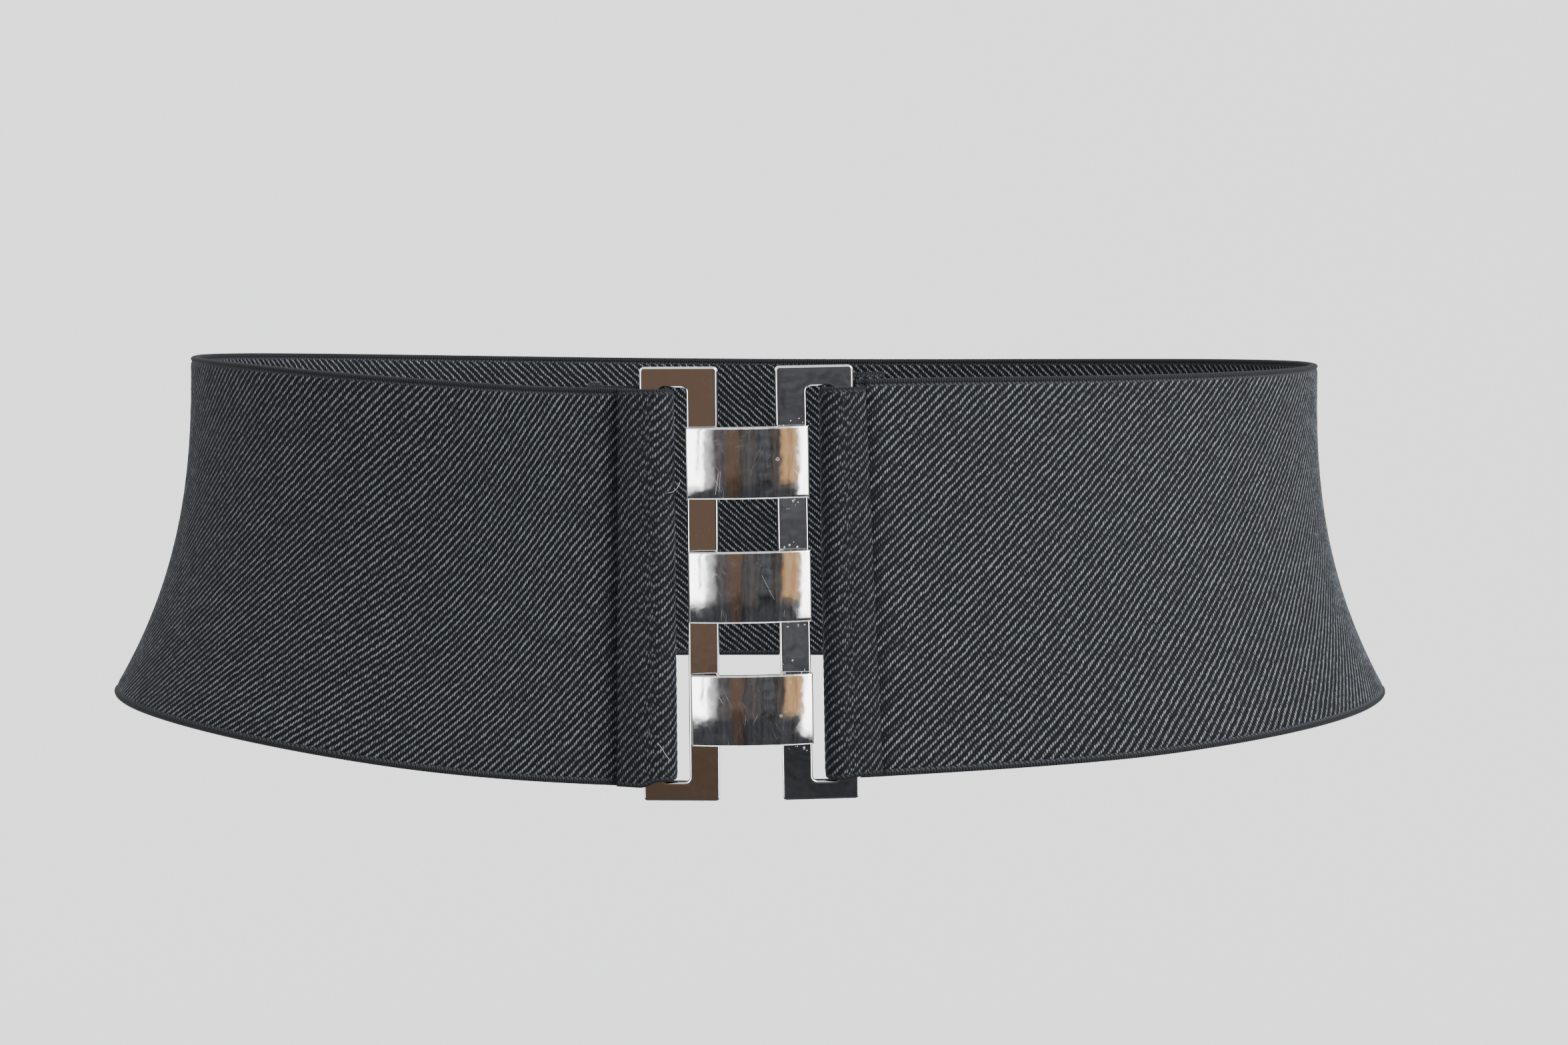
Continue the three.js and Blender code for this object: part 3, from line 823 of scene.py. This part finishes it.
def plate(number, material):
    """One domed plate with rounded rims, seated on the right frame."""
    across = graded(-PLATE_HALF_LENGTH, PLATE_HALF_LENGTH, PLATE_STEP, PLATE_EDGE_STEPS)
    upward = graded(-PLATE_HEIGHT / 2, PLATE_HEIGHT / 2, PLATE_STEP, PLATE_EDGE_STEPS)
    x, z = np.meshgrid(across, upward, indexing="ij")
    near_x = np.clip(1 - (PLATE_HALF_LENGTH - np.abs(x)) / PLATE_ROUNDING, 0, 1)
    near_z = np.clip(1 - (PLATE_HEIGHT / 2 - np.abs(z)) / PLATE_ROUNDING, 0, 1)
    off = np.clip(np.hypot(near_x, near_z), 0, 1)
    drop = PLATE_ROUNDING * (1 - np.sqrt(1 - off ** 2))
    front = -plate_back(x, z) - PLATE_THICKNESS + drop
    back = -plate_back(x, z)
    height = plate_heights()[number]
    points = np.concatenate([
        np.stack([x + PLATE_SHIFT, front, z + height], -1).reshape(-1, 3),
        np.stack([x + PLATE_SHIFT, back, z + height], -1).reshape(-1, 3)])
    index = np.arange(x.size).reshape(x.shape)
    faces = grid_faces(index, index + x.size)
    rim = np.concatenate([index[:, 0], index[-1, 1:], index[-2::-1, -1], index[0, -2:0:-1]])
    following = np.roll(rim, -1)
    faces += np.stack([rim, rim + x.size, following + x.size, following], -1).tolist()
    face = np.stack([x, z, np.full_like(x, number * PLATE_SPACING_IN_NOISE)], -1).reshape(-1, 3)
    piece = make_mesh(
        f"domed_plate_{number + 1}", moved(points, plates_matrix()), faces, material,
        {"face": np.concatenate([face, face])})
    keep_faces_flat(piece)
    dress(piece, "polished_metal", "right_buckle_half")


def block(outline, low, high, rounding):
    """Outline in x and y, drawn up from low to high, as a bmesh with rounded edges."""
    bm = bmesh.new()
    bottom = [bm.verts.new((x, y, low)) for x, y in outline]
    face = bm.faces.new(bottom)
    pushed = bmesh.ops.extrude_face_region(bm, geom=[face])
    raised = [v for v in pushed["geom"] if isinstance(v, bmesh.types.BMVert)]
    bmesh.ops.translate(bm, verts=raised, vec=(0, 0, high - low))
    bmesh.ops.bevel(
        bm, geom=bm.edges[:], offset=rounding, segments=2, affect="EDGES", profile=0.5, clamp_overlap=True)
    return bm


def joined(name, blocks, matrix, material):
    """One object from several bmeshes."""
    points, faces = [], []
    for bm in blocks:
        bm.verts.index_update()
        start = len(points)
        points += [tuple(v.co) for v in bm.verts]
        faces += [tuple(v.index + start for v in f.verts) for f in bm.faces]
        bm.free()
    points = np.array(points)
    face = np.stack([points[:, 0], points[:, 2], points[:, 1]], -1)
    piece = make_mesh(name, moved(points, matrix), faces, material, {"face": face})
    return keep_faces_flat(piece)


def hooks(material):
    """Plain hooks behind the plates that grip the left frame's centre bar."""
    slope = math.tan(HALF_TILT)
    rear = FRAME_THICKNESS / 2 / math.cos(HALF_TILT) + CLEARANCE
    near = FRAME_INNER_EDGE - CLEARANCE - SLOT_HEIGHT / 2 * math.sin(2 * HALF_SPREAD)
    stem = near - HOOK_THICKNESS
    tip = FRAME_INNER_EDGE + HOOK_GRIP
    top = -plate_back(near, PLATE_HEIGHT / 2) - PLATE_THICKNESS / 2
    outline = [
        (-stem, top), (-near, top), (-near, rear + near * slope), (-tip, rear + tip * slope),
        (-tip, rear + tip * slope + HOOK_THICKNESS), (-stem, rear + near * slope + HOOK_THICKNESS)]
    blocks = [block(outline, h - HOOK_WIDTH / 2, h + HOOK_WIDTH / 2, HOOK_ROUNDING) for h in plate_heights()]
    dress(joined("hooks", blocks, plates_matrix(), material), "polished_metal", "right_buckle_half")


def solder(material):
    """Blocks of solder under the plates, and small beads of it beside them on the right frame's bar."""
    middle = CENTRE_BAR_FAR_EDGE - CENTRE_BAR_WIDTH / 2
    near, far = middle - SOLDER_HALF_WIDTH, middle + SOLDER_HALF_WIDTH
    depth = PLATE_SEAT + PLATE_THICKNESS / 2
    outline = [(near, -SOLDER_REAR), (far, -SOLDER_REAR), (far, -depth), (near, -depth)]
    blocks = [
        block(outline, h - SOLDER_HALF_HEIGHT, h + SOLDER_HALF_HEIGHT, SOLDER_ROUNDING)
        for h in plate_heights()]
    random = np.random.default_rng(SOLDER_SEED)
    for h in plate_heights():
        for edge, beads in SOLDER_BEADS.items():
            for _ in range(beads):
                size = 0.06 + 0.16 * random.random() ** 2
                x = middle + (random.random() - 0.5) * CENTRE_BAR_WIDTH * 0.8
                z = h + edge * (PLATE_HEIGHT / 2 + random.random() ** 2 * SOLDER_SPREAD)
                bead = bmesh.new()
                bmesh.ops.create_icosphere(bead, subdivisions=2, radius=size)
                bmesh.ops.scale(bead, vec=(1.0, 0.55, 0.7 + random.random()), verts=bead.verts)
                y = x * math.tan(HALF_TILT) - FRAME_THICKNESS / 2
                bmesh.ops.translate(bead, vec=(x, y, z), verts=bead.verts)
                blocks.append(bead)
    dress(joined("solder", blocks, plates_matrix(), material), "polished_metal", "right_buckle_half")


def hair(name, points, width, material):
    """One loose fibre as a thin round thread through points in the row frame."""
    curve = bpy.data.curves.new(name, "CURVE")
    curve.dimensions = "3D"
    curve.bevel_depth = width / 2 * MM
    curve.bevel_resolution = 1
    spline = curve.splines.new("NURBS")
    spline.points.add(len(points) - 1)
    for point, place in zip(spline.points, points):
        point.co = (*(Vector(place) * MM), 1)
    spline.use_endpoint_u = True
    spline.order_u = 3
    curve.materials.append(material)
    piece = bpy.data.objects.new(name, curve)
    bpy.context.scene.collection.objects.link(piece)
    dress(piece, "black_elastic")


def lint_material(name, colour):
    material, _, shader = new_material(name)
    shader.inputs["Base Color"].default_value = (*colour, 1)
    shader.inputs["Roughness"].default_value = 0.8
    return material


def soft_light(name, place, power):
    """Square area light, 1 m wide, that points at the belt."""
    light = bpy.data.lights.new(name, "AREA")
    light.shape = "RECTANGLE"
    light.size = light.size_y = 1.0
    light.energy = power
    lamp = bpy.data.objects.new(name, light)
    lamp.location = place
    lamp.rotation_mode = "QUATERNION"
    lamp.rotation_quaternion = (-Vector(place)).to_track_quat("-Z", "Y")
    bpy.context.scene.collection.objects.link(lamp)


def pale_material(name, colour, glow):
    material, _, shader = new_material(name)
    shader.inputs["Base Color"].default_value = (*colour, 1)
    shader.inputs["Roughness"].default_value = 0.9
    shader.inputs["Specular IOR Level"].default_value = 0.0
    shader.inputs["Emission Color"].default_value = (*colour, 1)
    shader.inputs["Emission Strength"].default_value = glow
    return material


def ramp(value, low, high):
    """smooth() with one more axis, to weigh colours."""
    return smooth(value, low, high)[..., None]


def blended(colours, other, share):
    return colours + (other - colours) * share


def room_glow(azimuth, elevation):
    """Colour of the room that the buckle mirrors, by direction in degrees from straight ahead of it."""
    dark = np.array([0.105, 0.098, 0.095])
    brown = np.array([0.165, 0.108, 0.074])
    blue = np.array([0.088, 0.091, 0.098])
    warm = np.array([0.78, 0.47, 0.22])
    low = np.array([0.058, 0.060, 0.066])
    white = np.array([8.0, 8.0, 8.0])
    side_wall = np.array([0.2, 0.2, 0.21])
    floor = np.array([0.6, 0.55, 0.48])
    streaks = 0.25 * np.sin(azimuth * 1.9 + 1.0) + 0.18 * np.sin(azimuth * 4.3)
    streaks = (streaks + 0.12 * np.sin(azimuth * 7.1 + 2.0))[..., None]
    clouds = (0.22 * np.sin(elevation * 1.3) + 0.14 * np.sin(elevation * 3.1 + 1))[..., None]
    glow = dark * (1 + streaks)

    # Brown and blue strips of furniture in the middle, darker towards the floor
    in_brown = ramp(azimuth, -12.5, -11.5) * ramp(azimuth, -5, -6.5)
    glow = blended(glow, brown * (0.62 + 0.38 * ramp(elevation, -12, -8)), in_brown)
    in_blue = ramp(azimuth, 3, 5) * ramp(azimuth, 14, 11.5)
    dimmed = 0.4 + 0.6 * ramp(elevation, -11.5, -7.5)
    glow = blended(glow, blue * dimmed * (1 + clouds) * (1 + streaks), in_blue)

    # Tan strip at the right, and what lies low
    in_warm = ramp(azimuth, 16.5, 18.5) * ramp(elevation, -12.5, -9.5)
    glow = blended(glow, warm * (1 + 0.8 * streaks), in_warm)
    below = ramp(elevation, -12, -16)
    glow = blended(glow, low * (1 + streaks), below * (1 - in_brown * 0.7))

    # Bright windows at both sides, the left one with a thin bar, and the walls past them
    left = 0.1 * ramp(azimuth, -18, -23) + 0.9 * ramp(azimuth, -23.5, -26.5)
    left = left * ramp(elevation, -15.5, -11.5)
    bar = ramp(azimuth, -28.6, -27.8) * ramp(azimuth, -26.4, -27.2) * ramp(elevation, -9, -6)
    glow = blended(glow, white, left * (1 - 0.9 * bar))
    glow = blended(glow, side_wall, ramp(np.abs(azimuth), 46, 54))
    right = ramp(azimuth, 26.5, 28) * ramp(azimuth, 52, 47)
    glow = blended(glow, white, right * ramp(elevation, -22, -16))

    # Ceiling and floor
    glow = blended(glow, white * 0.25, ramp(elevation, 20, 24))
    return blended(glow, floor, ramp(elevation, -46, -54))


def set_room():
    """The room in front of the buckle as a glowing half cylinder, which only reflections see."""
    azimuths = np.linspace(-80, 80, 201)
    elevations = np.linspace(-64, 27, 115)
    azimuth, elevation = np.meshgrid(azimuths, elevations, indexing="ij")
    distance = 1.4
    turn = np.radians(azimuth)
    middle = (BUCKLE_INSET - WAIST_HALF_DEPTH) * MM
    height = distance * np.tan(np.radians(elevation))
    points = np.stack([distance * np.sin(turn), middle - distance * np.cos(turn), height], -1)
    index = np.arange(turn.size).reshape(turn.shape)
    mesh = bpy.data.meshes.new("room")
    mesh.from_pydata(points.reshape(-1, 3).tolist(), [], grid_faces(index))
    glow = room_glow(azimuth, elevation).astype(np.float32)
    mesh.attributes.new("glow", "FLOAT_VECTOR", "POINT").data.foreach_set("vector", glow.ravel())
    material, tree, shader = new_material("room")
    tree.links.new(attribute(tree, "glow").outputs["Vector"], shader.inputs["Emission Color"])
    shader.inputs["Emission Strength"].default_value = 1.0
    shader.inputs["Base Color"].default_value = (0, 0, 0, 1)
    shader.inputs["Specular IOR Level"].default_value = 0.0
    mesh.materials.append(material)
    room = bpy.data.objects.new("room", mesh)
    room.visible_camera = False
    bpy.context.scene.collection.objects.link(room)


def set_cove():
    """Pale round floor that curves up into a wall."""
    depth, flat, bend, top = -1.3, 4.0, 1.5, 4.5
    turns = 96
    profile = [(0.02, depth), (flat, depth)]
    profile += [
        (flat + bend * math.sin(t), depth + bend * (1 - math.cos(t)))
        for t in np.linspace(0, math.pi / 2, 17)[1:]]
    profile.append((flat + bend, top))
    points = [
        (r * math.cos(t), r * math.sin(t), z)
        for r, z in profile for t in np.linspace(0, 2 * math.pi, turns, endpoint=False)]
    faces = ring_faces(len(profile), turns)
    faces.append(tuple(range(turns)))
    mesh = bpy.data.meshes.new("cove")
    mesh.from_pydata(points, [], faces)
    mesh.polygons.foreach_set("use_smooth", [True] * len(faces))
    mesh.materials.append(pale_material("pale_floor", PALE_FLOOR, PALE_FLOOR_GLOW))
    cove = bpy.data.objects.new("cove", mesh)
    cove.visible_diffuse = False
    bpy.context.scene.collection.objects.link(cove)


def set_stage():
    set_cove()
    set_room()
    world = bpy.data.worlds.new("studio")
    bpy.context.scene.world = world
    world.use_nodes = True
    background = world.node_tree.nodes["Background"]
    background.inputs["Color"].default_value = SKY
    background.inputs["Strength"].default_value = 1.0
    soft_light("key", (1.07, -0.96, 1.1), 90)
    soft_light("fill", (-1.2, -0.9, 0.9), 2)


def set_camera():
    """Camera of the photograph, fitted to the belt's outlines."""
    place = Vector((4.86, -565.34, 56.82)) * MM
    pitch, yaw, roll = 0.09207, -0.00112, 0.0081
    focal_share = 3920 / 2352  # focal length over image width, both in pixels
    sensor = 36
    right = Vector((math.cos(yaw), math.sin(yaw), 0))
    level = Vector((-math.sin(yaw), math.cos(yaw), 0))
    upward = Vector((0, 0, 1))
    forward = level * math.cos(pitch) - upward * math.sin(pitch)
    up = level * math.sin(pitch) + upward * math.cos(pitch)
    image_right = right * math.cos(roll) + up * math.sin(roll)
    image_up = up * math.cos(roll) - right * math.sin(roll)
    camera = bpy.data.objects.new("camera", bpy.data.cameras.new("camera"))
    camera.data.sensor_width = sensor
    camera.data.lens = sensor * focal_share
    camera.data.clip_start = 0.01
    turn = Matrix((image_right, image_up, -forward)).transposed()
    camera.matrix_world = Matrix.Translation(place) @ turn.to_4x4()
    bpy.context.scene.collection.objects.link(camera)
    bpy.context.scene.camera = camera


set_camera()
set_stage()

elastic = elastic_material()
chrome = metal_material("polished_frame", 0.12, 0.0, SILVER)
plate_chrome = metal_material("polished_plate", 0.6, 0.5, SILVER, RUST_SPOTS, PLATE_MARKS)

elastic_band(elastic)
end_tab(-1, "left_folded_tab", "left_end_tab", elastic)
end_tab(1, "right_folded_tab", "right_end_tab", elastic)
buckle_frame(-1, "left_polished_frame", chrome, ["left_buckle_frame"])
buckle_frame(1, "right_polished_frame", chrome, ["right_buckle_half"])
for number in range(PLATE_COUNT):
    plate(number, plate_chrome)
hooks(chrome)
solder(metal_material("solder", 0.5, 0.0, SOLDER_GREY))
lint = lint_material("lint", LINT_COLOUR)
thread = lint_material("thread", THREAD_COLOUR)
for number, (points, width) in enumerate(LINT_HAIRS):
    hair(f"lint_hair_{number + 1}", points, width, lint)
for number in range(THREAD_ENDS):
    turn = number * THREAD_SPACING
    hair(f"thread_end_{number + 1}", [
        (-31.6 + turn, -78.3, 36.4), (-31.1 + turn, -79.2, 37.6 + 0.2 * math.sin(number * 2)),
        (-30.3 + turn * 0.9, -79.4, 38.0), (-29.7 + turn * 0.7, -78.6, 37.0)], THREAD_WIDTH, thread)
